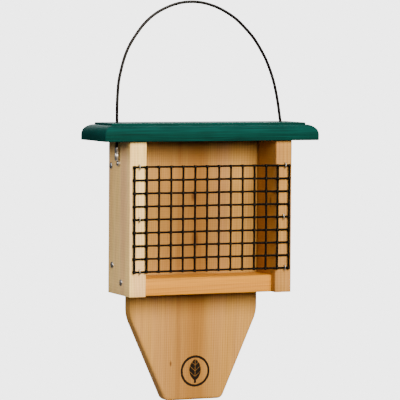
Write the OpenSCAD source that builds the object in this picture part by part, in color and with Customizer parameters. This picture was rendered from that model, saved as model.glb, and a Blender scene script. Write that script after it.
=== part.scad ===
// Hanging tail-prop bird feeder: a cedar box open at the front behind welded wire mesh, with a long
// tapered tail board below it, a moulded roof board that slides up its hanging cable, and a cable bail.
// Millimetres. +X is to the right seen from the front, +Y to the back, +Z up. The origin is the top of
// the cable's arch, on its centreline, where a hook carries the feeder. Inside the modules the box is
// drawn about its own middle: X 0 and Y 0 in the middle of the box, Z 0 on the top edges of the boards.

/* [Box boards] */
// Clear width between the two side boards
inner_w = 138; // [110:1:170]
// Thickness of each side board
side_t = 17.5; // [14:0.5:21]
// Depth of the box, front edge to rear face
box_d = 57; // [47:0.5:69]
// Height of the side boards
side_h = 150.5; // [125:0.5:181]
// Thickness of the back board
back_t = 15.5; // [12.5:0.5:19]
// Thickness of the floor board
floor_t = 17; // [14:0.5:21]
// How far the floor's front edge is set back from the sides' front edges
floor_set_back = 8.5; // [0:0.5:15]
// Radius of the eased upright edges of the side boards
edge_ease = 1.5; // [0.5:0.1:3]

/* [Tail] */
// How far the tail reaches below the box
tail_drop = 109; // [85:1:131]
// Height of the full-width stretch below the box, down to where the taper starts
tail_straight = 23.5; // [15:0.5:30]
// Width of the tail at its bottom end
tail_end_w = 61.5; // [50:0.5:75]
// Radius of the shoulders where the taper starts
shoulder_r = 37; // [15:1:45]
// Radius of the two bottom corners
tail_corner_r = 7; // [2:0.5:12]

/* [Roof] */
// Length of the roof board, left to right
roof_w = 228; // [208:1:260]
// Depth of the roof board, front to back
roof_d = 67; // [58:1:80]
// Height of the square lower part of the roof's edge
roof_edge_h = 5; // [3:0.5:8]
// Radius of the rounded moulding round the roof
roof_round_r = 10.5; // [7:0.5:13]
// Height of the small step between the moulding and the flat top
roof_step_h = 2; // [1:0.5:3]
// Gap left under the roof where it seats on the boards
roof_seat_gap = 0.2; // [0.1:0.1:1]
// Diameter of the two roof holes that ride on the cable
cable_hole_d = 6.5; // [6:0.5:12]

/* [Wire mesh] */
// Spacing of the mesh wires
mesh_pitch = 12.7; // [10.5:0.1:15.3]
// Diameter of a mesh wire with its coating
mesh_wire_d = 2.1; // [1.2:0.1:2.6]
// How deep two crossing wires are melted into each other at a weld
weld_depth = 0.5; // [0.2:0.1:0.6]
// How far each wire runs on past the last one it crosses
wire_end = 1.4; // [0.5:0.1:2.5]
// Height of the open slot between the roof and the top wire
loading_slot_h = 24.5; // [20:0.5:45]
// Least height of board left below the mesh
mesh_foot_min = 18; // [10:1:24]
// Least width left outside the outer wires on each side board
mesh_side_min = 3; // [2:0.5:8]

/* [Fasteners] */
// Diameter of the box screws' shanks
screw_d = 3.5; // [2.5:0.1:4.5]
// Diameter of the box screws' heads
screw_head_d = 6.6; // [5:0.1:9]
// Height of the box screws' heads
screw_head_h = 1.6; // [1:0.1:3]
// Length of the box screws under the head
screw_len = 32; // [26:1:40]
// Drop of the upper back screws below the boards' top edges
screw_upper_drop = 25; // [15:1:40]
// Height of the lower back screws above the boards' bottom edges
screw_lower_rise = 28; // [20:1:45]
// How far forward of the back board's middle the lower screws were driven
screw_lower_forward = 4; // [0:0.5:4.5]
// Height of the floor screws above the middle of the floor's thickness
floor_screw_rise = 4; // [0:0.5:4.5]
// Distance of the floor screws from the sides' front edges
floor_screw_back = 22; // [18:0.5:30]
// Spacing of the two screws through the back board into the floor
floor_back_spacing = 70; // [50:1:90]
// Diameter of the staple wire
staple_wire_d = 1.2; // [0.9:0.1:1.6]
// Height of a staple over its two legs
staple_h = 6; // [5:0.1:8]
// Depth that the staple legs are driven into the board
staple_leg = 9; // [6:0.5:12]
// Distance of the staples in from the outer upright wires
staple_inset = 5.55; // [2.5:0.05:6.5]

/* [Hanging cable] */
// Diameter of the coated cable
cable_d = 3; // [2:0.1:3.2]
// Distance of the cable's centreline from the outer face of the side board at its lower ends
cable_stand_off = 2.5; // [2.3:0.1:3]
// Outer diameter of the swaged barrel on each cable end
barrel_d = 4.4; // [4.2:0.1:5]
// Length of the swaged barrel
barrel_l = 13; // [10:0.5:16]
// Drop of the barrel's top below the boards' top edges
barrel_drop = 6.4; // [4:0.1:12]
// Depth of the cable's bore in the barrel
barrel_bore = 9; // [8.8:0.1:12]
// Diameter of the flat eye below the barrel
eye_d = 6; // [5.5:0.1:8]
// Thickness of the flat eye
eye_t = 1.6; // [1:0.1:2]
// Diameter of the cable screws' shanks
cable_screw_d = 3; // [2.5:0.1:3.4]
// Diameter of the cable screws' heads
cable_screw_head_d = 4.8; // [4.2:0.1:6]
// Height of the cable screws' heads
cable_screw_head_h = 1.3; // [0.9:0.1:2]
// Length of the cable screws under the head
cable_screw_len = 15; // [10:0.5:17]

/* [Hidden] */
$fn = 48;

// The arch of the cable, as [x, z] in the box's own frame, from inside the left barrel over the top
// to inside the right barrel. The cable stays in the plane Y 0. Its arch leans a little to the left.
CABLE_ROUTE = [
    [-89, -15], [-89, -3], [-89, 9], [-89, 21], [-89, 33], [-88.5, 45], [-87.5, 57], [-85, 69],
    [-81.5, 81], [-76.5, 92.5], [-69, 104], [-60, 115], [-49, 124], [-36.5, 130.5], [-24, 134.5],
    [-11, 136], [2, 135], [15, 131.5], [27, 126], [38, 119], [48, 110], [56.5, 101],
    [63.5, 91], [69.5, 81], [74.5, 70], [78.5, 59], [81.5, 47.5], [84, 35], [86, 22],
    [88, 9], [89, -3], [89, -15]
];
CABLE_TOP = [-11, 136];
CABLE_SIDES = 8;
RINGS_PER_SPAN = 2;

// Hand-driven staples land a little off line: offsets for top, middle and bottom on each side
STAPLE_DRIFT_LEFT = [0.2, 0, -0.3];
STAPLE_DRIFT_RIGHT = [1.5, -0.2, 1.5];

CUT = 0.5;           // how far a cutter runs past the face that it opens
BORE_GAP = 0.05;     // radial gap between the cable and the barrel's bore
HOLE_INSET = 0.5;    // how far the roof's holes lie inside the lines of the cable's lower ends
STAPLE_GAP = 0.05;   // gap between a mesh wire and the staple over it
HEAD_GAP = 0.1;      // gap between a cable screw's head and the barrel above it
EYE_HOLE_GAP = 0.15; // radial gap between a cable screw and the hole in the eye
TIP_L = 4;           // length of a screw's point
SHOULDER_STEPS = 14; // straight steps in each shoulder of the tail
CORNER_STEPS = 8;    // straight steps in each bottom corner of the tail
CRIMP_W = 0.9;       // width of a crimp groove in the barrel
CRIMP_DEPTH = 0.3;   // depth of a crimp groove
UPPER_CRIMP = 0.58;  // height of the upper crimp groove, of the barrel's length
NECK_SHARE = 0.7;    // width of the neck from the barrel to the eye, of the barrel's diameter
SCREW_POINT_D = 0.3; // diameter at the end of a screw's point
DOME_FLATTEN = 1.25; // how much flatter a screw head's dome is than one that meets its rim
RECESS_DEPTH = 0.65; // depth of a screw head's cross recess, of the head's height
RECESS_W = 0.9;      // width of one slot of the cross recess in a screw head
RECESS_SHARE = 0.62; // length of that slot, of the head's diameter
COUNTERSINK_H = 2.2; // height of the flat-headed screws' cone

CEDAR_PALE = "#E4C79A";
CEDAR = "#CFA06A";
CEDAR_DEEP = "#BC8A55";
ROOF_GREEN = "#04564C";
MESH_BLACK = "#17171A";
STEEL = "#C3C5C8";
ALUMINIUM = "#B9BCC0";

box_w = inner_w + 2 * side_t;
front_y = -box_d / 2;
rear_y = box_d / 2;
back_mid_y = rear_y - back_t / 2;
back_front_y = rear_y - back_t;
floor_mid_z = -side_h + floor_t / 2;
floor_front_y = front_y + floor_set_back;
roof_t = roof_edge_h + roof_round_r + roof_step_h;
cable_hole_x = box_w / 2 + cable_stand_off - HOLE_INSET;

mesh_columns = floor((box_w - 2 * mesh_side_min) / mesh_pitch);
mesh_rows = floor((side_h - loading_slot_h - mesh_foot_min) / mesh_pitch);
mesh_w = mesh_columns * mesh_pitch;
mesh_h = mesh_rows * mesh_pitch;
mesh_top_z = -loading_slot_h;
cross_y = front_y - mesh_wire_d / 2;
upright_y = cross_y - mesh_wire_d + weld_depth;
STAPLE_ROWS = [0, floor(mesh_rows / 2), mesh_rows];

// Side screws as [y, z], the same on both sides
SCREW_UPPER = [back_mid_y, -screw_upper_drop];
SCREW_LOWER = [back_mid_y - screw_lower_forward, -side_h + screw_lower_rise];
SCREW_FLOOR = [front_y + floor_screw_back, floor_mid_z + floor_screw_rise];
SIDE_SCREWS = [SCREW_UPPER, SCREW_LOWER, SCREW_FLOOR];

barrel_top_z = -barrel_drop;
barrel_bottom_z = barrel_top_z - barrel_l;
eye_z = barrel_bottom_z - cable_screw_head_d / 2 - HEAD_GAP;

// ---- helpers ----

// Moves a piece from the box's own frame to the hanging point
module placed() {
    translate([-CABLE_TOP[0], 0, -CABLE_TOP[1]]) children();
}

// A child drawn along +X from the left outer face, mirrored for the right side
module on_side(side) {
    if (side < 0) translate([-box_w / 2, 0, 0]) children();
    else mirror([1, 0, 0]) translate([-box_w / 2, 0, 0]) children();
}

function unit(v) = v / norm(v);

// The arc that rounds one corner [x, y, radius] between its neighbours
function corner_arc(before, corner, after, steps) =
    let (
        p = [corner[0], corner[1]],
        a = unit([before[0], before[1]] - p),
        b = unit([after[0], after[1]] - p),
        half = acos(a * b) / 2,
        centre = p + unit(a + b) * corner[2] / sin(half),
        first = p + a * corner[2] / tan(half) - centre,
        last = p + b * corner[2] / tan(half) - centre,
        turn = acos(unit(first) * unit(last)),
        way = first[0] * last[1] - first[1] * last[0] < 0 ? -1 : 1
    )
    [for (i = [0:steps])
        let (t = way * turn * i / steps)
        centre + [first[0] * cos(t) - first[1] * sin(t), first[0] * sin(t) + first[1] * cos(t)]];

// Board with its four upright edges eased
module eased_board(w, d, h) {
    linear_extrude(h) union() {
        square([w - 2 * edge_ease, d], center = true);
        square([w, d - 2 * edge_ease], center = true);
        for (x = [-1, 1], y = [-1, 1])
            translate([x * (w / 2 - edge_ease), y * (d / 2 - edge_ease)]) circle(edge_ease);
    }
}

// Pan-head screw along +X: the head stands out from X 0, the shank runs in from it
module pan_screw(d, head_d, head_h, length) {
    dome_r = (head_d * head_d / 4 + head_h * head_h) / (2 * head_h) * DOME_FLATTEN;
    rotate([0, 90, 0]) difference() {
        union() {
            cylinder(d = d, h = length - TIP_L);
            translate([0, 0, length - TIP_L]) cylinder(d1 = d, d2 = SCREW_POINT_D, h = TIP_L);
            intersection() {
                translate([0, 0, -head_h]) cylinder(d = head_d, h = head_h);
                translate([0, 0, dome_r - head_h]) sphere(dome_r);
            }
        }
        for (turn = [20, 110]) rotate([0, 0, turn]) translate([0, 0, -head_h])
            cube([head_d * RECESS_SHARE, RECESS_W, 2 * head_h * RECESS_DEPTH], center = true);
    }
}

// Pilot hole along +X that a screw of this size fills
module pilot(d, length) {
    rotate([0, 90, 0]) {
        translate([0, 0, -CUT]) cylinder(d = d, h = length - TIP_L + CUT);
        translate([0, 0, length - TIP_L]) cylinder(d1 = d, d2 = SCREW_POINT_D, h = TIP_L);
    }
}

module side_pilots() {
    for (s = SIDE_SCREWS) translate([0, s[0], s[1]]) pilot(screw_d, screw_len);
}

// Flat-headed screw along -Y with its head flush in the rear face
module flush_screw(extra = 0) {
    rotate([90, 0, 0]) {
        if (extra > 0) translate([0, 0, -extra]) cylinder(d = screw_head_d, h = extra);
        cylinder(d1 = screw_head_d, d2 = screw_d, h = COUNTERSINK_H);
        cylinder(d = screw_d, h = screw_len - TIP_L);
        translate([0, 0, screw_len - TIP_L]) cylinder(d1 = screw_d, d2 = SCREW_POINT_D, h = TIP_L);
    }
}

module at_floor_back_screws() {
    for (x = [-1, 1])
        translate([x * floor_back_spacing / 2, rear_y, floor_mid_z]) children();
}

// ---- the box ----

module side_board(side, drift) {
    difference() {
        translate([side * (inner_w + side_t) / 2, 0, -side_h]) eased_board(side_t, box_d, side_h);
        on_side(side) {
            side_pilots();
            translate([0, 0, eye_z]) pilot(cable_screw_d, cable_screw_len - eye_t);
        }
        for (i = [0:2]) staple_legs(side, i, drift[i], CUT);
    }
}

module side_left() {
    color(CEDAR_PALE) placed() side_board(-1, STAPLE_DRIFT_LEFT);
}

module side_right() {
    color(CEDAR_PALE) placed() side_board(1, STAPLE_DRIFT_RIGHT);
}

// Outline of the back board in X and Z: square at the top, tapering below its shoulders
module back_outline() {
    half_w = inner_w / 2;
    bottom_z = -side_h - tail_drop;
    shoulder = [half_w, -side_h - tail_straight, shoulder_r];
    tip = [tail_end_w / 2, bottom_z, tail_corner_r];
    right_side = concat(
        [[half_w, 0]],
        corner_arc([half_w, 0], shoulder, tip, SHOULDER_STEPS),
        corner_arc(shoulder, tip, [0, bottom_z], CORNER_STEPS)
    );
    last = len(right_side) - 1;
    polygon(concat(right_side, [for (i = [0:last]) [-right_side[last - i][0], right_side[last - i][1]]]));
}

module back_board() {
    color(CEDAR) placed() difference() {
        translate([0, rear_y, 0]) rotate([90, 0, 0]) linear_extrude(back_t) back_outline();
        for (side = [-1, 1]) on_side(side) side_pilots();
        at_floor_back_screws() flush_screw(CUT);
    }
}

module floor_board() {
    color(CEDAR_DEEP) placed() difference() {
        translate([-inner_w / 2, floor_front_y, -side_h])
            cube([inner_w, back_front_y - floor_front_y, floor_t]);
        for (side = [-1, 1]) on_side(side) side_pilots();
        at_floor_back_screws() flush_screw();
    }
}

// ---- the roof ----

// Cross section of the roof board over a given width: square edge, rounded moulding, step and flat top
module roof_section(w) {
    translate([-w / 2, 0]) square([w, roof_edge_h]);
    translate([-w / 2 + roof_round_r, 0]) square([w - 2 * roof_round_r, roof_t]);
    for (x = [-1, 1]) intersection() {
        translate([x * (w / 2 - roof_round_r), roof_edge_h]) circle(roof_round_r);
        translate([-w / 2, roof_edge_h]) square([w, roof_round_r]);
    }
}

module roof() {
    color(ROOF_GREEN) placed() translate([0, 0, roof_seat_gap]) difference() {
        intersection() {
            rotate([90, 0, 90]) linear_extrude(roof_w, center = true) roof_section(roof_d);
            rotate([90, 0, 0]) linear_extrude(roof_d, center = true) roof_section(roof_w);
        }
        for (x = [-1, 1])
            translate([x * cable_hole_x, 0, -CUT]) cylinder(d = cable_hole_d, h = roof_t + 2 * CUT);
    }
}

// ---- the mesh and its staples ----

module mesh_upright_wires() {
    color(MESH_BLACK) placed()
        for (i = [0:mesh_columns])
            translate([-mesh_w / 2 + i * mesh_pitch, upright_y, mesh_top_z - mesh_h - wire_end])
                cylinder(d = mesh_wire_d, h = mesh_h + 2 * wire_end);
}

module mesh_cross_wires() {
    color(MESH_BLACK) placed()
        for (i = [0:mesh_rows])
            translate([-mesh_w / 2 - wire_end, cross_y, mesh_top_z - i * mesh_pitch])
                rotate([0, 90, 0]) cylinder(d = mesh_wire_d, h = mesh_w + 2 * wire_end);
}

function staple_x(side, drift) = side * (mesh_w / 2 - staple_inset + drift);
function staple_z(row) = mesh_top_z - STAPLE_ROWS[row] * mesh_pitch;
staple_crown_y = front_y - mesh_wire_d - STAPLE_GAP - staple_wire_d / 2;
staple_leg_z = (staple_h - staple_wire_d) / 2;

// The two legs, from the crown into the board
module staple_legs(side, row, drift, extra = 0) {
    for (z = [-1, 1])
        translate([staple_x(side, drift), staple_crown_y, staple_z(row) + z * staple_leg_z])
            rotate([-90, 0, 0]) cylinder(d = staple_wire_d, h = front_y + staple_leg - staple_crown_y);
}

module staple(side, row, drift) {
    color(STEEL) placed() {
        staple_legs(side, row, drift);
        translate([staple_x(side, drift), staple_crown_y, staple_z(row) - staple_leg_z])
            cylinder(d = staple_wire_d, h = 2 * staple_leg_z);
        for (z = [-1, 1])
            translate([staple_x(side, drift), staple_crown_y, staple_z(row) + z * staple_leg_z])
                sphere(d = staple_wire_d);
    }
}

module staple_left_top() { staple(-1, 0, STAPLE_DRIFT_LEFT[0]); }
module staple_left_middle() { staple(-1, 1, STAPLE_DRIFT_LEFT[1]); }
module staple_left_bottom() { staple(-1, 2, STAPLE_DRIFT_LEFT[2]); }
module staple_right_top() { staple(1, 0, STAPLE_DRIFT_RIGHT[0]); }
module staple_right_middle() { staple(1, 1, STAPLE_DRIFT_RIGHT[1]); }
module staple_right_bottom() { staple(1, 2, STAPLE_DRIFT_RIGHT[2]); }

// ---- the screws ----

module side_screw(side, at) {
    color(STEEL) placed() on_side(side) translate([0, at[0], at[1]])
        pan_screw(screw_d, screw_head_d, screw_head_h, screw_len);
}

module screw_left_upper() { side_screw(-1, SCREW_UPPER); }
module screw_left_lower() { side_screw(-1, SCREW_LOWER); }
module screw_left_floor() { side_screw(-1, SCREW_FLOOR); }
module screw_right_upper() { side_screw(1, SCREW_UPPER); }
module screw_right_lower() { side_screw(1, SCREW_LOWER); }
module screw_right_floor() { side_screw(1, SCREW_FLOOR); }

module floor_back_screws() {
    color(STEEL) placed() at_floor_back_screws() flush_screw();
}

// ---- the hanging cable ----

// A point on the smooth curve through four route points, t from 0 to 1 between the middle two
function on_curve(a, b, c, d, t) =
    0.5 * (2 * b + (c - a) * t + (2 * a - 5 * b + 4 * c - d) * t * t + (3 * b - a - 3 * c + d) * t * t * t);

function route_point(i) = CABLE_ROUTE[max(0, min(len(CABLE_ROUTE) - 1, i))];

cable_line = concat(
    [for (i = [0:len(CABLE_ROUTE) - 2], k = [0:RINGS_PER_SPAN - 1])
        on_curve(route_point(i - 1), route_point(i), route_point(i + 1), route_point(i + 2), k / RINGS_PER_SPAN)],
    [CABLE_ROUTE[len(CABLE_ROUTE) - 1]]
);

// Direction of the line at one of its points
function along(line, i) = unit(line[min(len(line) - 1, i + 1)] - line[max(0, i - 1)]);

// A round tube of flat sides along a line in the XZ plane
module tube(line, d, sides) {
    last = len(line) - 1;
    rings = [for (i = [0:last], k = [0:sides - 1])
        let (
            run = along(line, i),
            out = d / 2 * cos(360 * k / sides),
            across = d / 2 * sin(360 * k / sides)
        )
        [line[i][0] - run[1] * out, across, line[i][1] + run[0] * out]];
    walls = [for (i = [0:last - 1], k = [0:sides - 1])
        let (n = (k + 1) % sides)
        [i * sides + k, i * sides + n, (i + 1) * sides + n, (i + 1) * sides + k]];
    ends = [[for (k = [0:sides - 1]) sides - 1 - k], [for (k = [0:sides - 1]) last * sides + k]];
    polyhedron(rings, concat(walls, ends), convexity = 6);
}

module hanging_cable() {
    color(MESH_BLACK) placed() tube(cable_line, cable_d, CABLE_SIDES);
}

// Swaged end: a round barrel with two crimp grooves over a flat eye that is screwed to the board
module cable_end() {
    difference() {
        union() {
            translate([-cable_stand_off, 0, barrel_bottom_z]) cylinder(d = barrel_d, h = barrel_l);
            translate([-eye_t, 0, eye_z]) rotate([0, 90, 0]) cylinder(d = eye_d, h = eye_t);
            translate([-eye_t, -barrel_d * NECK_SHARE / 2, eye_z])
                cube([eye_t, barrel_d * NECK_SHARE, barrel_bottom_z + CRIMP_W / 4 - eye_z]);
        }
        translate([-cable_stand_off, 0, barrel_top_z - barrel_bore])
            cylinder(d = cable_d + 2 * BORE_GAP, h = barrel_bore + CUT);
        for (z = [barrel_bottom_z + CRIMP_W, barrel_bottom_z + barrel_l * UPPER_CRIMP])
            translate([-cable_stand_off, 0, z]) difference() {
                cylinder(d = barrel_d + 2 * CUT, h = CRIMP_W, center = true);
                cylinder(d = barrel_d - 2 * CRIMP_DEPTH, h = CRIMP_W + 2 * CUT, center = true);
            }
        translate([-eye_t - CUT, 0, eye_z]) rotate([0, 90, 0])
            cylinder(d = cable_screw_d + 2 * EYE_HOLE_GAP, h = eye_t + 2 * CUT);
    }
}

module cable_end_left() {
    color(ALUMINIUM) placed() on_side(-1) cable_end();
}

module cable_end_right() {
    color(ALUMINIUM) placed() on_side(1) cable_end();
}

module cable_screw(side) {
    color(STEEL) placed() on_side(side) translate([-eye_t, 0, eye_z])
        pan_screw(cable_screw_d, cable_screw_head_d, cable_screw_head_h, cable_screw_len);
}

module cable_screw_left() { cable_screw(-1); }
module cable_screw_right() { cable_screw(1); }

roof();
back_board();
side_left();
side_right();
floor_board();
mesh_upright_wires();
mesh_cross_wires();
staple_left_top();
staple_left_middle();
staple_left_bottom();
staple_right_top();
staple_right_middle();
staple_right_bottom();
screw_left_upper();
screw_left_lower();
screw_left_floor();
screw_right_upper();
screw_right_lower();
screw_right_floor();
floor_back_screws();
hanging_cable();
cable_end_left();
cable_end_right();
cable_screw_left();
cable_screw_right();
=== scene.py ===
import math

import bmesh
import bpy
from mathutils import Matrix, Vector, noise


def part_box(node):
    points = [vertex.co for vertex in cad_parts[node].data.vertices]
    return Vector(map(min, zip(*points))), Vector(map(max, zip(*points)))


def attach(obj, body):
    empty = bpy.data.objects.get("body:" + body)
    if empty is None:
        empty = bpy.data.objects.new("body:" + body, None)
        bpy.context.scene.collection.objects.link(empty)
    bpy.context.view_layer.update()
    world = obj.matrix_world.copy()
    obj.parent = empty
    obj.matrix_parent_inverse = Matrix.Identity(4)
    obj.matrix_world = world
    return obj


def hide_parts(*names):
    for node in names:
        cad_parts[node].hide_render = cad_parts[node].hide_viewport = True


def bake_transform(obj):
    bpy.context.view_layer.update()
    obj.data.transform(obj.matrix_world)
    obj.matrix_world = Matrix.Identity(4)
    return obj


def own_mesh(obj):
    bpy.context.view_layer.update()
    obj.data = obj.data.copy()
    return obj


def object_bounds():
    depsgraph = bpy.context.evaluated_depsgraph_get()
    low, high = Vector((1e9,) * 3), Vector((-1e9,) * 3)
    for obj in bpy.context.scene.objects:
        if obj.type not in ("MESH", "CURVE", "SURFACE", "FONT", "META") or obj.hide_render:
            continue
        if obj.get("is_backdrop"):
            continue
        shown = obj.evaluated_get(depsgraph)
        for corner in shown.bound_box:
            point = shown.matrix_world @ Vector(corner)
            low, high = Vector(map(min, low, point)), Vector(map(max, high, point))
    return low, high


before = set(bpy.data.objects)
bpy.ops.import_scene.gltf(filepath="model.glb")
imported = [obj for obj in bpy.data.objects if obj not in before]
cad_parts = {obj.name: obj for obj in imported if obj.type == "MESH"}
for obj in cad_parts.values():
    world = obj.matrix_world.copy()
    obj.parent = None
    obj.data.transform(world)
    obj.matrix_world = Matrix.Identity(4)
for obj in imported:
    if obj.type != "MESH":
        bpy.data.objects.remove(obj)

cad_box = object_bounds()

# The camera. It stands in front of the feeder, to its left and a little above its middle,
# and looks through a long lens, so the upright edges stay almost parallel.
camera = bpy.data.objects.new("camera", bpy.data.cameras.new("camera"))
camera.location = (-1.0010, -2.3150, -0.0409)
camera.rotation_euler = [math.radians(a) for a in (86.505, -0.400, -23.581)]
camera.data.sensor_width = 36.0
camera.data.lens = 230.6
camera.data.clip_start = 0.1
bpy.context.scene.collection.objects.link(camera)
bpy.context.scene.camera = camera

# The hanging cable. One length of thin steel wire rope in a black vinyl jacket goes from the
# left cable end up through the roof, over in a stiff arch, and down to the right cable end.
# It is three pieces here, joined inside the roof's holes, so that the roof can slide on it.
MM = 0.001
left_low, left_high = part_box("side_left")
right_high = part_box("side_right")[1]
BOX_MIDDLE = Vector(((left_low.x + right_high.x) / 2, (left_low.y + left_high.y) / 2, left_high.z))

CABLE_D = 3.0 * MM
CABLE_SIDES = 14
LEG_X = 89                 # of the cable's upright lower ends
CABLE_STEPS = 8            # rings in each span of the route
CABLE_JOIN_Z = 12          # height of the joins between the legs and the arch, inside the roof's holes
BARREL_TOP_Z = -6.4        # where the cable goes into its swaged ends
CABLE_ROUTE = [
    (-89, -15), (-89, -3), (-89, 9), (-89, 21), (-89, 33), (-88.5, 45), (-87.5, 57), (-85, 69),
    (-81.5, 81), (-76.5, 92.5), (-69, 104), (-60, 115), (-49, 124), (-36.5, 130.5), (-24, 134.5),
    (-11, 136), (2, 135), (15, 131.5), (27, 126), (38, 119), (48, 110), (56.5, 101),
    (63.5, 91), (69.5, 81), (74.5, 70), (78.5, 59), (81.5, 47.5), (84, 35), (86, 22),
    (88, 9), (89, -3), (89, -15),
]


def at(x, y, z):
    """A point in the shared frame, from millimetres off the middle of the box's top edges."""
    return BOX_MIDDLE + Vector((x, y, z)) * MM


def linear(colour):
    """An sRGB hex colour as linear red, green, blue and alpha."""
    parts = [int(colour[i:i + 2], 16) / 255 for i in (1, 3, 5)]
    return [c / 12.92 if c <= 0.04045 else ((c + 0.055) / 1.055) ** 2.4 for c in parts] + [1.0]


def add(tree, kind, inputs=(), stops=None, **settings):
    """Adds one node and gives its outputs. inputs is a list in the order of its sockets or a dict by
    socket; a socket is linked, any other value is set. stops are the (place, colour) pairs of a ramp."""
    node = tree.nodes.new(kind)
    for name, value in settings.items():
        setattr(node, name, value)
    for key, value in inputs.items() if isinstance(inputs, dict) else enumerate(inputs):
        if isinstance(value, bpy.types.NodeSocket):
            tree.links.new(value, node.inputs[key])
        else:
            node.inputs[key].default_value = value
    for i, (place, colour) in enumerate(stops or []):
        ends = node.color_ramp.elements
        stop = ends[i] if i < 2 else ends.new(place)
        stop.position, stop.color = place, colour
    return node.outputs


def new_material(name, **values):
    """A material, its node tree and its shader, with constant values set on the shader's sockets."""
    material = bpy.data.materials.new(name)
    material.use_nodes = True
    shader = material.node_tree.nodes["Principled BSDF"]
    for socket, value in values.items():
        shader.inputs[socket.replace("_", " ")].default_value = value
    return material, material.node_tree, shader


def black_vinyl(name, colour):
    """Soft black vinyl drawn over wire rope as a smooth tube: satin, and a little grey in patches
    where it has been handled. It rides on the piece's own UV map."""
    material, tree, shader = new_material(name, Roughness=0.4, IOR=1.5, Specular_IOR_Level=0.14)
    uv = add(tree, "ShaderNodeTexCoord")["UV"]
    dust = add(tree, "ShaderNodeTexNoise", {"Vector": uv, "Scale": 0.12, "Detail": 3.0})["Fac"]
    tone = add(tree, "ShaderNodeValToRGB", [dust],
               stops=[(0.35, linear(colour)), (0.75, linear("#0B0B0E"))])["Color"]
    tree.links.new(tone, shader.inputs["Base Color"])
    return material


def smooth_line(route, steps):
    """The smooth curve through the route's (x, z) points, as points in the shared frame."""
    line = []
    for i in range(len(route) - 1):
        a, b, c, d = (Vector(route[max(0, min(len(route) - 1, i + k))]) for k in (-1, 0, 1, 2))
        for k in range(steps):
            t = k / steps
            p = 0.5 * (2 * b + (c - a) * t + (2 * a - 5 * b + 4 * c - d) * t ** 2
                       + (3 * b - a - 3 * c + d) * t ** 3)
            line.append(at(p.x, 0, p.y))
    return line + [at(route[-1][0], 0, route[-1][1])]


def sweep(bm, line, radius, sides, across):
    """A round tube along a flat line, closed at both ends. across is square to the line's plane.
    Its UV map goes round in U from 0 to 1, and along in V in millimetres."""
    uv = bm.loops.layers.uv.verify()
    along, rings = [0.0], []
    for a, b in zip(line, line[1:]):
        along.append(along[-1] + (b - a).length / MM)
    for i, p in enumerate(line):
        ahead = (line[min(i + 1, len(line) - 1)] - line[max(i - 1, 0)]).normalized()
        out = ahead.cross(across)
        turns = [math.tau * k / sides for k in range(sides)]
        rings.append([bm.verts.new(p + radius * (across * math.cos(t) + out * math.sin(t))) for t in turns])
    for i in range(len(line) - 1):
        for k in range(sides):
            n = (k + 1) % sides
            face = bm.faces.new((rings[i][k], rings[i][n], rings[i + 1][n], rings[i + 1][k]))
            corners = ((k, i), (k + 1, i), (k + 1, i + 1), (k, i + 1))
            for loop, (u, v) in zip(face.loops, corners):
                loop[uv].uv = (u / sides, along[v])
    bm.faces.new(rings[0])
    bm.faces.new(reversed(rings[-1]))


def made(bm, name, material, sharp=35):
    """The bmesh as a finished object at the origin: merged, facing outwards, smooth up to an angle."""
    bmesh.ops.remove_doubles(bm, verts=bm.verts, dist=0.002 * MM)
    bmesh.ops.recalc_face_normals(bm, faces=bm.faces)
    for face in bm.faces:
        face.smooth = True
    for edge in bm.edges:
        edge.smooth = len(edge.link_faces) == 2 and edge.calc_face_angle(0) < math.radians(sharp)
    mesh = bpy.data.meshes.new(name)
    bm.to_mesh(mesh)
    bm.free()
    mesh.materials.append(material)
    piece = bpy.data.objects.new(name, mesh)
    bpy.context.scene.collection.objects.link(piece)
    return piece


cable_line = smooth_line(CABLE_ROUTE, CABLE_STEPS)
join_height = at(0, 0, CABLE_JOIN_Z).z
first = next(i for i, p in enumerate(cable_line) if p.z > join_height)
last = next(i for i in reversed(range(len(cable_line))) if cable_line[i].z > join_height)
cable_vinyl = black_vinyl("black_vinyl_jacket", "#030304")
cable_pieces = {}
for name, line in (("cable_leg_left", cable_line[:first + 1]), ("cable_arch", cable_line[first:last + 1]),
                   ("cable_leg_right", cable_line[last:])):
    bm = bmesh.new()
    sweep(bm, line, CABLE_D / 2, CABLE_SIDES, Vector((0, 1, 0)))
    cable_pieces[name] = made(bm, name, cable_vinyl, sharp=60)
    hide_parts("hanging_cable")
for name, side in (("cable_leg_left", -1), ("cable_leg_right", 1)):
    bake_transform(cable_pieces[name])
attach(cable_pieces["cable_arch"], "roof")
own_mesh(cable_pieces["cable_arch"])

# The two side boards. Each is a planed cedar board on end with its four upright edges eased.
# They carry the whole box: the back, the floor, the mesh and the cable are all fixed to them.
BOARD_EASE = 1.5 * MM      # radius of the eased upright edges
CUT_EASE = 0.4 * MM        # what sanding takes off the saw cut edges
WOBBLE = 0.12 * MM         # how far a planed face strays from flat
WOBBLE_LENGTH = 35 * MM
CHATTER = 2.6              # spacing of the planer's ripples, in mm
UPRIGHT, LEVEL = 2, 0      # the axis that a board's grain runs along


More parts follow.
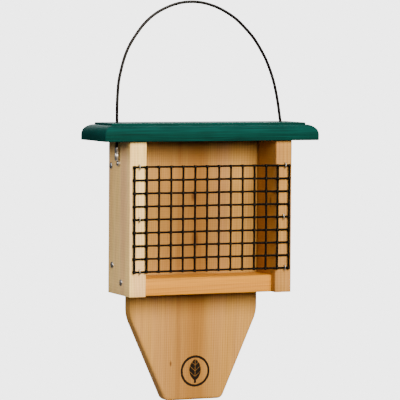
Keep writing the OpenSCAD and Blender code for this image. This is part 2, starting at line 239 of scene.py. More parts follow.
def plank(low, high, grain, ease, cut_ease, cuts=14):
    """A board between two corners. Its edges along the grain are eased more than the cut ones, and its
    faces are not quite flat."""
    bm = bmesh.new()
    bmesh.ops.create_cube(bm, size=1.0)
    size = high - low
    for v in bm.verts:
        v.co = Vector([low[k] + (v.co[k] + 0.5) * size[k] for k in range(3)])

    def along_grain(edge):
        run = edge.verts[1].co - edge.verts[0].co
        return abs(run[grain]) > 0.9 * run.length

    bmesh.ops.bevel(bm, geom=[e for e in bm.edges if along_grain(e)], offset=ease, segments=4,
                    profile=0.5, affect="EDGES")
    bm.normal_update()
    ends = [f for f in bm.faces if abs(f.normal[grain]) > 0.9]
    rims = {e for f in ends for e in f.edges}
    bmesh.ops.bevel(bm, geom=list(rims), offset=cut_ease, segments=2, profile=0.5, affect="EDGES")
    long_edges = [e for e in bm.edges if along_grain(e) and e.calc_length() > 0.5 * size[grain]]
    bmesh.ops.subdivide_edges(bm, edges=long_edges, cuts=cuts, use_grid_fill=True)
    for v in bm.verts:
        v.co += noise.noise_vector(v.co / WOBBLE_LENGTH) * WOBBLE
    return bm


def cedar(name, board, grain, pith, tilt, ring, pale, mid, late, rosy, streaks=(), knots=(), through=1,
          mark=None, wave=10.0, contrast=1.0):
    """Western red cedar, planed: pale spring wood that darkens into thin late wood lines, one ring
    after another round a pith far off the board, with fine fibres, broad drifts of tone and a dry
    satin surface. pith is the heart's place off the board's middle, ring the rings' spacing, in mm.
    streaks are (x, half width, strength, colour) of bands along the grain and knots (place, radius), both
    in mm from the middle of the box's top. A knot goes through the board along the axis named by through."""
    material, tree, shader = new_material(name, IOR=1.5, Specular_IOR_Level=0.12)
    low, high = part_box(board)
    turn = [math.radians(tilt[0]), math.radians(tilt[1] + (90 if grain == 0 else 0)), 0]
    coords = add(tree, "ShaderNodeTexCoord")["Object"]
    board_mm = add(tree, "ShaderNodeMapping", {
        "Vector": coords, "Location": (low + high) / 2, "Rotation": turn, "Scale": (MM, MM, MM),
    }, vector_type="TEXTURE")[0]
    box_mm = add(tree, "ShaderNodeMapping", {
        "Vector": coords, "Location": BOX_MIDDLE, "Scale": (MM, MM, MM),
    }, vector_type="TEXTURE")[0]
    from_pith = add(tree, "ShaderNodeMapping", {
        "Vector": board_mm, "Location": (-pith[0], -pith[1], 0), "Scale": (1, 1, 0.07),
    })[0]
    fine = add(tree, "ShaderNodeMapping", {"Vector": board_mm, "Scale": (1, 1, 0.018)})[0]

    # growth rings: a saw that rises slowly through the spring wood and drops after the late wood
    rings = add(tree, "ShaderNodeTexWave", {
        "Vector": from_pith, "Scale": math.tau / (20 * ring), "Distortion": wave, "Detail": 3.0,
        "Detail Scale": 0.035, "Detail Roughness": 0.45,
    }, wave_type="RINGS", rings_direction="Z", wave_profile="SAW")["Fac"]
    late_line = add(tree, "ShaderNodeValToRGB", [rings], stops=[
        (0.0, (0.18, 0.18, 0.18, 1)), (0.06, (0, 0, 0, 1)), (0.55, (0.16, 0.16, 0.16, 1)),
        (0.86, (0.62, 0.62, 0.62, 1)), (0.95, (1, 1, 1, 1))])["Color"]
    patchy = add(tree, "ShaderNodeTexNoise", {"Vector": fine, "Scale": 0.12, "Detail": 2.0})["Fac"]
    some = add(tree, "ShaderNodeMapRange", [patchy, 0.3, 0.7, 0.25 * contrast, contrast])[0]
    late_share = add(tree, "ShaderNodeMath", [late_line, some], operation="MULTIPLY")[0]

    # fibres, drawn about 0.8 mm wide so that they show, and broad drifts of tone
    fibres = add(tree, "ShaderNodeTexNoise", {
        "Vector": fine, "Scale": 0.9, "Detail": 4.0, "Roughness": 0.65})["Fac"]
    drift = add(tree, "ShaderNodeTexNoise", {
        "Vector": from_pith, "Scale": 0.03, "Detail": 2.0})["Fac"]
    drift_share = add(tree, "ShaderNodeMapRange", [drift, 0.35, 0.68])[0]
    wood = add(tree, "ShaderNodeMix", {0: drift_share, 6: linear(pale), 7: linear(mid)},
               data_type="RGBA")[2]
    blush = add(tree, "ShaderNodeTexNoise", {"Vector": from_pith, "Scale": 0.055, "W": 4.0, "Detail": 3.0},
                noise_dimensions="4D")["Fac"]
    blush_share = add(tree, "ShaderNodeMapRange", [blush, 0.42, 0.66, 0.0, 0.75])[0]
    wood = add(tree, "ShaderNodeMix", {0: blush_share, 6: wood, 7: linear(rosy)}, data_type="RGBA")[2]
    wood = add(tree, "ShaderNodeMix", {0: late_share, 6: wood, 7: linear(late)}, data_type="RGBA")[2]

    across = add(tree, "ShaderNodeSeparateXYZ", [box_mm])
    for x, half, strength, colour in streaks:
        sway = add(tree, "ShaderNodeMath", [drift, 0.8 * half, x - 0.4 * half],
                   operation="MULTIPLY_ADD")[0]
        off = add(tree, "ShaderNodeMath", [across["X"], sway], operation="SUBTRACT")[0]
        off = add(tree, "ShaderNodeMath", [off], operation="ABSOLUTE")[0]
        band = add(tree, "ShaderNodeMapRange", [off, 0.1 * half, half, strength, 0.0],
                   interpolation_type="SMOOTHSTEP")[0]
        wood = add(tree, "ShaderNodeMix", {0: band, 6: wood, 7: linear(colour)}, data_type="RGBA")[2]
    for place, radius in knots:
        stretch = Vector((1, 1, 2.4))
        stretch[through] = 1e6
        off = add(tree, "ShaderNodeMapping", {
            "Vector": box_mm, "Location": place, "Scale": stretch}, vector_type="TEXTURE")[0]
        off = add(tree, "ShaderNodeVectorMath", [off], operation="LENGTH")["Value"]
        wobble = add(tree, "ShaderNodeMath", [fibres, 0.8 * radius, off], operation="MULTIPLY_ADD")[0]
        core = add(tree, "ShaderNodeMapRange", [wobble, 0.7 * radius, 2.4 * radius, 0.8, 0.0],
                   interpolation_type="SMOOTHSTEP")[0]
        wood = add(tree, "ShaderNodeMix", {0: core, 6: wood, 7: linear("#4A280F")},
                   data_type="RGBA")[2]

    # the planer's knives leave faint ripples across the grain, stronger in some places than in others
    cuts = add(tree, "ShaderNodeMath", [across["Z" if grain == 2 else "X"], math.tau / CHATTER],
               operation="MULTIPLY")[0]
    cuts = add(tree, "ShaderNodeMath", [cuts], operation="SINE")[0]
    cuts = add(tree, "ShaderNodeMath", [cuts, patchy], operation="MULTIPLY")[0]
    shade = add(tree, "ShaderNodeMapRange", [fibres, 0.25, 0.75, 0.80, 1.14])[0]
    shade = add(tree, "ShaderNodeMath", [cuts, 0.07, shade], operation="MULTIPLY_ADD")[0]
    wood = add(tree, "ShaderNodeVectorMath", {0: wood, "Scale": shade}, operation="SCALE")[0]
    height = add(tree, "ShaderNodeMath", [late_share, fibres], operation="ADD")[0]
    if mark:
        burned = mark(tree, box_mm, fibres)
        wood = add(tree, "ShaderNodeMix", {0: burned, 6: wood, 7: linear("#0D0603")},
                   data_type="RGBA")[2]
        height = add(tree, "ShaderNodeMath", [burned, -3.0, height], operation="MULTIPLY_ADD")[0]
    rough = add(tree, "ShaderNodeMapRange", [fibres, 0.2, 0.8, 0.5, 0.72])[0]
    bump = add(tree, "ShaderNodeBump", {"Strength": 0.55, "Distance": 0.09 * MM, "Height": height})
    tree.links.new(wood, shader.inputs["Base Color"])
    tree.links.new(rough, shader.inputs["Roughness"])
    tree.links.new(bump["Normal"], shader.inputs["Normal"])
    return material


side_cedar = {
    "side_left": cedar("cedar_side_left", "side_left", UPRIGHT, (38, -62), (2.2, -3.0), 2.3,
                       "#FFE29A", "#F2CC80", "#C0914C", "#E0B48A", wave=6, contrast=0.7),
    "side_right": cedar("cedar_side_right", "side_right", UPRIGHT, (-70, 85), (-0.9, 0.5), 2.1,
                        "#B48A4A", "#A8793B", "#805622", "#A27446", wave=7, contrast=0.6,
                        knots=[((0, -16, -62), 1.8)], through=0),
}
for name, material in side_cedar.items():
    low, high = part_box(name)
    board = made(plank(low, high, UPRIGHT, BOARD_EASE, CUT_EASE), name + "_board", material)
    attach(board, "box")
    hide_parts(name)

# The back board. One long cedar board closes the box and runs on below it as the tail that a
# bird props itself on. It is cut to its tapered outline, and a router has rounded its edges.
back_low, back_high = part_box("back_board")
BACK_HALF_W = (back_high.x - back_low.x) / 2 / MM
BACK_LENGTH = (back_high.z - back_low.z) / MM
SHOULDER = (BACK_HALF_W, -174, 37)         # x, z and radius of the corner where the taper starts
TAIL_END = (30.75, -BACK_LENGTH, 7)        # the same of the bottom corner
BACK_ROUND = 3 * MM                        # radius that the router leaves on the front and rear edges
front_y = (back_low.y - BOX_MIDDLE.y) / MM
rear_y = (back_high.y - BOX_MIDDLE.y) / MM
MARK_MIDDLE = (1.3, -230.8)                # x and z
MARK_RADIUS = 14.5
MARK_LINE = 2.1                            # width of the ring's and the stem's line
BURN_DEPTH = 1.0


def corner_arc(before, corner, after, steps):
    """The arc that rounds a corner (x, z, radius) between the points before and after it."""
    p = Vector(corner[:2])
    a, b = (Vector(before[:2]) - p).normalized(), (Vector(after[:2]) - p).normalized()
    half = a.angle(b) / 2
    centre = p + (a + b).normalized() * corner[2] / math.sin(half)
    reach = corner[2] / math.tan(half)
    start, end = p + a * reach - centre, p + b * reach - centre
    turn = start.angle_signed(end)
    return [centre + Matrix.Rotation(-turn * i / steps, 2) @ start for i in range(steps + 1)]


def burned_leaf(tree, box_mm, fibres):
    """A round stamp burned into the wood: a ring with one plain leaf, its edges a little uneven."""
    placed = add(tree, "ShaderNodeMapping", {
        "Vector": box_mm, "Location": (MARK_MIDDLE[0], 0, MARK_MIDDLE[1])}, vector_type="TEXTURE")[0]
    axes = add(tree, "ShaderNodeSeparateXYZ", [placed])
    x, z = axes["X"], axes["Z"]
    side = add(tree, "ShaderNodeMath", [x], operation="ABSOLUTE")[0]
    flat = add(tree, "ShaderNodeCombineXYZ", [x, 0.0, z])[0]
    folded = add(tree, "ShaderNodeCombineXYZ", [side, 0.0, z])[0]
    uneven = add(tree, "ShaderNodeMath", [fibres, 0.5, -0.25], operation="MULTIPLY_ADD")[0]

    radius = add(tree, "ShaderNodeVectorMath", [flat], operation="LENGTH")["Value"]
    to_ring = add(tree, "ShaderNodeMath", [radius, MARK_RADIUS], operation="SUBTRACT")[0]
    to_ring = add(tree, "ShaderNodeMath", [to_ring], operation="ABSOLUTE")[0]
    # the leaf is where two circles overlap: inside leaf_r of a centre across the midrib, on both sides
    leaf_off, leaf_r, leaf_rise = 6.5, 12.6, 1.2
    vein_slope, vein_gap = 0.9, 2.8
    stem_drop, stem_half = 8.6, 2.2
    from_far = add(tree, "ShaderNodeVectorMath", [folded, (-leaf_off, 0, leaf_rise)],
                   operation="DISTANCE")["Value"]
    to_leaf = add(tree, "ShaderNodeMath", [from_far, leaf_r - MARK_LINE / 2], operation="SUBTRACT")[0]
    # its veins and midrib are left as bare wood
    slope = add(tree, "ShaderNodeMath", [side, -vein_slope, z], operation="MULTIPLY_ADD")[0]
    to_vein = add(tree, "ShaderNodeMath", [slope, vein_gap], operation="PINGPONG")[0]
    to_bare = add(tree, "ShaderNodeMath", [side, to_vein], operation="MINIMUM")[0]
    bare = add(tree, "ShaderNodeMath", [MARK_LINE / 2 + 0.3, to_bare], operation="SUBTRACT")[0]
    to_leaf = add(tree, "ShaderNodeMath", [to_leaf, bare], operation="MAXIMUM")[0]
    # the stem runs down from the leaf towards the ring
    below = add(tree, "ShaderNodeMath", [z, stem_drop], operation="ADD")[0]
    below = add(tree, "ShaderNodeMath", [below], operation="ABSOLUTE")[0]
    below = add(tree, "ShaderNodeMath", [below, stem_half], operation="SUBTRACT")[0]
    to_stem = add(tree, "ShaderNodeMath", [side, below], operation="MAXIMUM")[0]

    nearest = add(tree, "ShaderNodeMath", [to_ring, to_leaf], operation="MINIMUM")[0]
    nearest = add(tree, "ShaderNodeMath", [nearest, to_stem], operation="MINIMUM")[0]
    nearest = add(tree, "ShaderNodeMath", [nearest, uneven], operation="ADD")[0]
    burned = add(tree, "ShaderNodeMapRange", [nearest, MARK_LINE / 2 - 0.1, MARK_LINE / 2 + 0.4, 1.0, 0.0],
                 interpolation_type="SMOOTHSTEP")[0]
    on_front = add(tree, "ShaderNodeMath", [axes["Y"], front_y + BURN_DEPTH],
                   operation="LESS_THAN")[0]
    return add(tree, "ShaderNodeMath", [burned, on_front], operation="MULTIPLY")[0]


right_outline = [Vector((BACK_HALF_W, 0))]
right_outline += corner_arc((BACK_HALF_W, 0), SHOULDER, TAIL_END, 16)
right_outline += corner_arc(SHOULDER, TAIL_END, (0, -BACK_LENGTH), 10)
outline = right_outline + [Vector((-p.x, p.y)) for p in reversed(right_outline)]
bm = bmesh.new()
rims = [[bm.verts.new(at(p.x, y, p.y)) for p in outline] for y in (front_y, rear_y)]
bm.faces.new(rims[0])
bm.faces.new(reversed(rims[1]))
for k in range(len(outline)):
    n = (k + 1) % len(outline)
    bm.faces.new((rims[0][n], rims[0][k], rims[1][k], rims[1][n]))
bm.normal_update()
rim_edges = [e for e in bm.edges if abs(e.verts[0].co.y - e.verts[1].co.y) < 1e-6]
bmesh.ops.bevel(bm, geom=rim_edges, offset=BACK_ROUND, segments=5, profile=0.5, affect="EDGES",
                clamp_overlap=True)
back_cedar = cedar("cedar_back", "back_board", UPRIGHT, (120, -95), (0.5, 1.1), 1.9,
                   "#BA8F4E", "#AC803E", "#805620", "#B08457", wave=9, contrast=0.6,
                   streaks=[(-4, 44, 0.6, "#8C6026"), (3, 16, 0.45, "#84561D"), (-17, 4, 0.25, "#6E4216")],
                   knots=[((-25.2, 0, -222.3), 0.9), ((-1.7, 0, -56), 1.7), ((0.3, 0, -99), 2.4)],
                   mark=burned_leaf)
back = made(bm, "back_board_with_tail", back_cedar)
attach(back, "box")
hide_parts("back_board")

# The floor board. A short cedar board with its grain across the feeder, held between the sides
# and set back behind their front edges, so that the mesh passes in front of it.
FLOOR_EASE = 1.0 * MM
floor_low, floor_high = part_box("floor_board")
floor_cedar = cedar("cedar_floor", "floor_board", LEVEL, (60, 75), (0.7, -0.6), 2.2,
                    "#CA8D2A", "#BC7E1F", "#905916", "#BE8334", wave=8, contrast=0.6)
floor_board = made(plank(floor_low, floor_high, LEVEL, FLOOR_EASE, CUT_EASE), "floor_board_of_box", floor_cedar)
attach(floor_board, "box")
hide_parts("floor_board")

# The roof board. A solid board with a quarter round and a small step moulded round its top edge,
# stained an opaque green all over. Two drilled holes let it slide up on the cable's legs.
roof_low, roof_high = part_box("roof")
ROOF_EDGE = 5.0            # height of the square lower edge
ROOF_ROUND = 10.5          # radius of the quarter round
ROOF_EASE = 0.7            # what sanding takes off the bottom edge and the step
ROOF_CORNER = 1.6          # radius of the upright corners, seen from above
FLAT_RIM = 1.5             # a flat strip round the top and bottom that keeps their shading flat
ROOF_HOLE = 3.25           # radius of a hole
ROOF_HOLE_X = 88.5
roof_h = (roof_high.z - roof_low.z) / MM


def quarter(inset, height, radius, start, steps=4):
    """Points (inset, height) of a quarter circle round a centre, from the start angle on."""
    angles = [math.radians(start - 90 * i / steps) for i in range(steps + 1)]
    return [(inset + radius * math.cos(a), height + radius * math.sin(a)) for a in angles]


def cut_out(piece, cutter, sharp=30):
    """Cuts the cutter's shape out of the piece, with sharp new edges, and removes the cutter."""
    cut = piece.modifiers.new("cut", "BOOLEAN")
    cut.operation, cut.solver, cut.use_self, cut.object = "DIFFERENCE", "EXACT", True, cutter
    bpy.context.view_layer.update()
    result = bpy.data.meshes.new_from_object(piece.evaluated_get(bpy.context.evaluated_depsgraph_get()))
    result.set_sharp_from_angle(angle=math.radians(sharp))
    piece.modifiers.clear()
    piece.data = result
    bpy.data.objects.remove(cutter)


moulding = [(ROOF_EASE + FLAT_RIM, 0)] + quarter(ROOF_EASE, ROOF_EASE, ROOF_EASE, 270)
moulding += quarter(ROOF_ROUND, ROOF_EDGE, ROOF_ROUND, 180, steps=12)
moulding += [(ROOF_ROUND, roof_h - ROOF_EASE)]
moulding += quarter(ROOF_ROUND + ROOF_EASE, roof_h - ROOF_EASE, ROOF_EASE, 180)
moulding += [(ROOF_ROUND + ROOF_EASE + FLAT_RIM, roof_h)]
bm = bmesh.new()
rings = []
half_w, half_d = (roof_high.x - roof_low.x) / 2 / MM, (roof_high.y - roof_low.y) / 2 / MM
roof_foot = (roof_low.z - BOX_MIDDLE.z) / MM
for inset, height in moulding:
    corner = max(ROOF_CORNER - inset, 0.25)
    ring = []
    for quadrant in range(4):
        sx, sy = ((1, 1), (-1, 1), (-1, -1), (1, -1))[quadrant]
        for k in range(4):
            a = math.radians(90 * quadrant + 30 * k)
            x = sx * (half_w - inset - corner) + corner * math.cos(a)
            y = sy * (half_d - inset - corner) + corner * math.sin(a)
            ring.append(bm.verts.new(at(x, y, roof_foot + height)))
    rings.append(ring)
for a, b in zip(rings, rings[1:]):
    for k in range(len(a)):
        n = (k + 1) % len(a)
        bm.faces.new((a[k], a[n], b[n], b[k]))
bm.faces.new(reversed(rings[0]))
bm.faces.new(rings[-1])


def green_stain():
    """Opaque deep green exterior stain on a planed board: an even, nearly matt colour, with the grain
    raised in faint level streaks under it."""
    material, tree, shader = new_material("green_stain", IOR=1.45, Specular_IOR_Level=0.06)
    coords = add(tree, "ShaderNodeTexCoord")["Object"]
    board_mm = add(tree, "ShaderNodeMapping", {
        "Vector": coords, "Location": (roof_low + roof_high) / 2, "Scale": (MM, MM, MM),
    }, vector_type="TEXTURE")[0]
    level = add(tree, "ShaderNodeMapping", {"Vector": board_mm, "Scale": (0.02, 1, 1)})[0]
    grain = add(tree, "ShaderNodeTexNoise", {
        "Vector": level, "Scale": 0.8, "Detail": 4.0, "Roughness": 0.6})["Fac"]
    cloud = add(tree, "ShaderNodeTexNoise", {"Vector": board_mm, "Scale": 0.03, "Detail": 2.0})["Fac"]
    mixed = add(tree, "ShaderNodeMath", [cloud, 0.25, grain], operation="MULTIPLY_ADD")[0]
    tone = add(tree, "ShaderNodeValToRGB", [mixed], stops=[
        (0.42, linear("#00211F")), (0.82, linear("#003D3A"))])["Color"]
    rough = add(tree, "ShaderNodeMapRange", [grain, 0.2, 0.8, 0.72, 0.88])[0]
    bump = add(tree, "ShaderNodeBump", {"Strength": 0.5, "Distance": 0.12 * MM, "Height": grain})
    tree.links.new(tone, shader.inputs["Base Color"])
    tree.links.new(rough, shader.inputs["Roughness"])
    tree.links.new(bump["Normal"], shader.inputs["Normal"])
    return material


roof = made(bm, "roof_board", green_stain(), sharp=28)
for side in (-1, 1):
    bm = bmesh.new()
    bmesh.ops.create_cone(bm, cap_ends=True, segments=32, radius1=ROOF_HOLE * MM, radius2=ROOF_HOLE * MM,
                          depth=40 * MM, matrix=Matrix.Translation(at(side * ROOF_HOLE_X, 0, roof_h / 2)))
    cut_out(roof, made(bm, "hole_cutter", roof.data.materials[0]))
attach(roof, "roof")
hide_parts("roof")

# The wire mesh. Steel wires are welded square, 12.7 mm apart, and the whole sheet is dipped in black
# vinyl, which swells a little round each weld. The uprights lie in front of the cross wires.
PITCH = 12.7 * MM
WIRE_END = 1.4 * MM        # how far a wire runs on past the last one it crosses
WELD_SWELL = 0.32          # how much thicker the coating is at a weld
WELD_REACH = 1.3 * MM      # how far from the weld the swelling fades
WIRE_WAVE = 0.7 * MM       # how far the wires stray from straight
WIRE_SIDES = 10
WIRE_STEP = 0.9 * MM       # spacing of the rings along a wire


def wire_row_tree():
    """Parallel wires with a swelling at every weld, as a tree with named inputs."""
    tree = bpy.data.node_groups.new("welded_wires", "GeometryNodeTree")
    sockets = (("Count", "Int"), ("First Start", "Vector"), ("Run", "Vector"), ("Step", "Vector"),
               ("Length", "Float"), ("Wire Diameter", "Float"), ("Weld Pitch", "Float"),
               ("First Weld", "Float"), ("Weld Swell", "Float"), ("Weld Reach", "Float"),
               ("Waviness", "Float"), ("Seed", "Float"), ("Material", "Material"))
    for name, kind in sockets:
        tree.interface.new_socket(name, in_out="INPUT", socket_type="NodeSocket" + kind)
    tree.interface.new_socket("Geometry", in_out="OUTPUT", socket_type="NodeSocketGeometry")
    given = add(tree, "NodeGroupInput")
    starts = add(tree, "GeometryNodeMeshLine", {
        "Count": given["Count"], "Start Location": given["First Start"], "Offset": given["Step"]})
    wire = add(tree, "GeometryNodeCurvePrimitiveLine", {
        "Direction": given["Run"], "Length": given["Length"]}, mode="DIRECTION")
    laid = add(tree, "GeometryNodeInstanceOnPoints", {
        "Points": starts[0], "Instance": wire[0]})
    wires = add(tree, "GeometryNodeRealizeInstances", [laid[0]])
    cut = add(tree, "GeometryNodeResampleCurve", {
        "Curve": wires[0], "Length": WIRE_STEP}, mode="LENGTH")
    place = add(tree, "GeometryNodeInputPosition")
    stray = add(tree, "ShaderNodeTexNoise", {
        "Vector": place[0], "W": given["Seed"], "Scale": 0.022 / MM, "Detail": 1.0},
        noise_dimensions="4D")
    centred = add(tree, "ShaderNodeVectorMath", [stray["Color"], (0.5, 0.5, 0.5)],
                  operation="SUBTRACT")
    offset = add(tree, "ShaderNodeVectorMath", {0: centred[0], "Scale": given["Waviness"]},
                 operation="SCALE")
    bent = add(tree, "GeometryNodeSetPosition", {"Geometry": cut[0], "Offset": offset[0]})
    along = add(tree, "GeometryNodeSplineParameter")["Length"]
    past_first = add(tree, "ShaderNodeMath", [along, given["First Weld"]], operation="SUBTRACT")[0]
    welds = add(tree, "ShaderNodeMath", [past_first, given["Weld Pitch"]], operation="DIVIDE")[0]
    nearest = add(tree, "ShaderNodeMath", [welds], operation="ROUND")[0]
    off = add(tree, "ShaderNodeMath", [welds, nearest], operation="SUBTRACT")[0]
    off = add(tree, "ShaderNodeMath", [off, given["Weld Pitch"]], operation="MULTIPLY")[0]
    off = add(tree, "ShaderNodeMath", [off, given["Weld Reach"]], operation="DIVIDE")[0]
    squared = add(tree, "ShaderNodeMath", [off, off], operation="MULTIPLY")[0]
    fade = add(tree, "ShaderNodeMath", [math.e, squared], operation="POWER")[0]
    swell = add(tree, "ShaderNodeMath", [given["Weld Swell"], fade], operation="DIVIDE")[0]
    thick = add(tree, "ShaderNodeMath", [swell, 1.0], operation="ADD")[0]
    radius = add(tree, "ShaderNodeMath", [thick, given["Wire Diameter"]], operation="MULTIPLY")[0]
    near = add(tree, "ShaderNodeMath", [1.0, fade], operation="DIVIDE")[0]
    marked = add(tree, "GeometryNodeStoreNamedAttribute", {
        "Geometry": bent[0], "Name": "weld", "Value": near}, data_type="FLOAT", domain="POINT")
    section = add(tree, "GeometryNodeCurvePrimitiveCircle", {"Resolution": WIRE_SIDES, "Radius": 0.5})
    skin = add(tree, "GeometryNodeCurveToMesh", {
        "Curve": marked[0], "Profile Curve": section[0], "Scale": radius, "Fill Caps": True})
    smooth = add(tree, "GeometryNodeSetShadeSmooth", {"Geometry": skin[0]})
    coated = add(tree, "GeometryNodeSetMaterial", {
        "Geometry": smooth[0], "Material": given["Material"]})
    add(tree, "NodeGroupOutput", [coated[0]])
    return tree


def grown(name, tree, values, start_mesh=None):
    """A plain mesh object made by a tree: its inputs are set by name, and the modifier is not kept."""
    source = bpy.data.objects.new(name, start_mesh or bpy.data.meshes.new(name))
    bpy.context.scene.collection.objects.link(source)
    modifier = source.modifiers.new("nodes", "NODES")
    modifier.node_group = tree
    for socket in tree.interface.items_tree:
        if socket.in_out == "INPUT" and socket.name in values:
            modifier[socket.identifier] = values[socket.name]
    bpy.context.view_layer.update()
    mesh = bpy.data.meshes.new_from_object(source.evaluated_get(bpy.context.evaluated_depsgraph_get()))
    source.modifiers.clear()
    source.data = mesh
    return source


def dipped_vinyl():
    """Black vinyl that steel wire mesh is dipped in: thick, soft edged, satin, with grey glints where
    it bulges at the welds and a fine unevenness left by the dip."""
    material, tree, shader = new_material("dipped_black_vinyl", IOR=1.5)
    coords = add(tree, "ShaderNodeTexCoord")["Object"]
    lumps = add(tree, "ShaderNodeTexNoise", {
        "Vector": coords, "Scale": 0.9 / MM, "Detail": 2.0})["Fac"]
    haze = add(tree, "ShaderNodeTexNoise", {
        "Vector": coords, "Scale": 0.06 / MM, "Detail": 2.0})["Fac"]
    tone = add(tree, "ShaderNodeValToRGB", [haze],
               stops=[(0.35, linear("#020202")), (0.8, linear("#070708"))])["Color"]
    weld = add(tree, "ShaderNodeAttribute", attribute_name="weld")["Fac"]
    shine = add(tree, "ShaderNodeMapRange", [weld, 0.6, 1.0, 0.05, 0.3])[0]
    rough = add(tree, "ShaderNodeMapRange", [weld, 0.5, 1.0, 0.5, 0.3])[0]
    bump = add(tree, "ShaderNodeBump", {"Strength": 0.3, "Distance": 0.06 * MM, "Height": lumps})
    tree.links.new(tone, shader.inputs["Base Color"])
    tree.links.new(shine, shader.inputs["Specular IOR Level"])
    tree.links.new(rough, shader.inputs["Roughness"])
    tree.links.new(bump["Normal"], shader.inputs["Normal"])
    return material


uprights_low, uprights_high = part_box("mesh_upright_wires")
cross_low, cross_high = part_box("mesh_cross_wires")
WIRE_D = uprights_high.y - uprights_low.y
mesh_vinyl = dipped_vinyl()
wire_tree = wire_row_tree()
upright_y = (uprights_low.y + uprights_high.y) / 2
cross_y = (cross_low.y + cross_high.y) / 2
upright_x = uprights_low.x + WIRE_D / 2
cross_z = cross_low.z + WIRE_D / 2
common = {"Wire Diameter": WIRE_D, "Weld Pitch": PITCH, "First Weld": WIRE_END, "Weld Swell": WELD_SWELL,
          "Weld Reach": WELD_REACH, "Waviness": WIRE_WAVE, "Seed": 3.0, "Material": mesh_vinyl}
upright_wires = grown("mesh_uprights", wire_tree, {
    **common, "Count": round((uprights_high.x - uprights_low.x - WIRE_D) / PITCH) + 1,
    "First Start": (upright_x, upright_y, uprights_low.z), "Run": (0, 0, 1), "Step": (PITCH, 0, 0),
    "Length": uprights_high.z - uprights_low.z})
cross_wires = grown("mesh_cross_wires_row", wire_tree, {
    **common, "Count": round((cross_high.z - cross_low.z - WIRE_D) / PITCH) + 1,
    "First Start": (cross_low.x, cross_y, cross_z), "Run": (1, 0, 0), "Step": (0, 0, PITCH),
    "Length": cross_high.x - cross_low.x})
for wires, node in ((upright_wires, "mesh_upright_wires"), (cross_wires, "mesh_cross_wires")):
    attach(wires, "box")
    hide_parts(node)

# The six staples. Each is a bright galvanised wire staple, driven by hand over a cross wire of the
# mesh into the front edge of a side board, so its crown lies on the wire and its legs are in the wood.
STAPLE_D = 1.2
STAPLE_BEND = 1.1          # radius of its two bends, on the wire's centreline
STAPLE_NODES = [f"staple_{side}_{row}" for side in ("left", "right") for row in ("top", "middle", "bottom")]
STAPLE_LEANS = (-3, 2, 1, 4, -2, 3)        # how far each is off upright, in degrees


def driven_tree():
    """Sets one piece at every point, turned by the point's own turn attribute."""
    tree = bpy.data.node_groups.new("driven_in_a_row", "GeometryNodeTree")
    for name, kind in (("Geometry", "Geometry"), ("Piece", "Object"), ("Material", "Material")):
        tree.interface.new_socket(name, in_out="INPUT", socket_type="NodeSocket" + kind)
    tree.interface.new_socket("Geometry", in_out="OUTPUT", socket_type="NodeSocketGeometry")
    given = add(tree, "NodeGroupInput")
    piece = add(tree, "GeometryNodeObjectInfo", [given["Piece"]])
    angles = add(tree, "GeometryNodeInputNamedAttribute", {"Name": "turn"}, data_type="FLOAT_VECTOR")
    turn = add(tree, "FunctionNodeEulerToRotation", [angles[0]])
    driven = add(tree, "GeometryNodeInstanceOnPoints", {
        "Points": given["Geometry"], "Instance": piece["Geometry"], "Rotation": turn[0]})
    real = add(tree, "GeometryNodeRealizeInstances", [driven[0]])
    coated = add(tree, "GeometryNodeSetMaterial", {
        "Geometry": real[0], "Material": given["Material"]})
    add(tree, "NodeGroupOutput", [coated[0]])
    return tree


def driven(name, piece, places, material):
    """One mesh of the same piece at several (place, angles in degrees). The single piece isn't kept."""
    points = bpy.data.meshes.new(name)
    points.from_pydata([place for place, angles in places], [], [])
    turns = points.attributes.new("turn", "FLOAT_VECTOR", "POINT")
    for i, (place, angles) in enumerate(places):
        turns.data[i].vector = [math.radians(a) for a in angles]
    row = grown(name, fastener_tree, {"Piece": piece, "Material": material}, points)
    bpy.data.objects.remove(piece)
    return row


def plated_steel(name, colour, roughness, blotch):
    """Zinc plated steel wire or screw: bright cold grey, softly brushed by handling, with slightly
    duller blotches where the plating is thin."""
    material, tree, shader = new_material(name, Metallic=1.0)
    coords = add(tree, "ShaderNodeTexCoord")["Object"]
    dull = add(tree, "ShaderNodeTexNoise", {
        "Vector": coords, "Scale": 0.7 / MM, "Detail": 3.0})["Fac"]
    tone = add(tree, "ShaderNodeValToRGB", [dull],
               stops=[(0.3, linear(colour)), (0.8, linear(blotch))])["Color"]
    rough = add(tree, "ShaderNodeMapRange", [dull, 0.3, 0.7, roughness, roughness + 0.14])[0]
    tree.links.new(tone, shader.inputs["Base Color"])
    tree.links.new(rough, shader.inputs["Roughness"])
    return material


fastener_tree = driven_tree()
plated = plated_steel("zinc_plated_steel", "#C4C5C8", 0.28, "#8C8D90")
staple_low, staple_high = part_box(STAPLE_NODES[0])
crown = (staple_high.z - staple_low.z) / 2 / MM - STAPLE_D / 2
leg = (staple_high.y - staple_low.y) / MM - STAPLE_D / 2
staple_line = [Vector((0, leg, crown))]
for turn in range(0, 91, 15):
    a = math.radians(turn)
    staple_line.append(Vector((0, STAPLE_BEND * (1 - math.sin(a)), crown - STAPLE_BEND * (1 - math.cos(a)))))
staple_line += [Vector((0, p.y, -p.z)) for p in reversed(staple_line)]
bm = bmesh.new()
sweep(bm, [p * MM for p in staple_line], STAPLE_D / 2 * MM, 12, Vector((1, 0, 0)))
staple = made(bm, "staple", plated, sharp=60)
places = []
for node, lean in zip(STAPLE_NODES, STAPLE_LEANS):
    low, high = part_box(node)
    crown_y = low.y + STAPLE_D / 2 * MM
    places.append((((low.x + high.x) / 2, crown_y, (low.z + high.z) / 2), (0, lean, 0)))
staples = driven("mesh_staples", staple, places, plated)
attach(staples, "box")
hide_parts(*STAPLE_NODES)

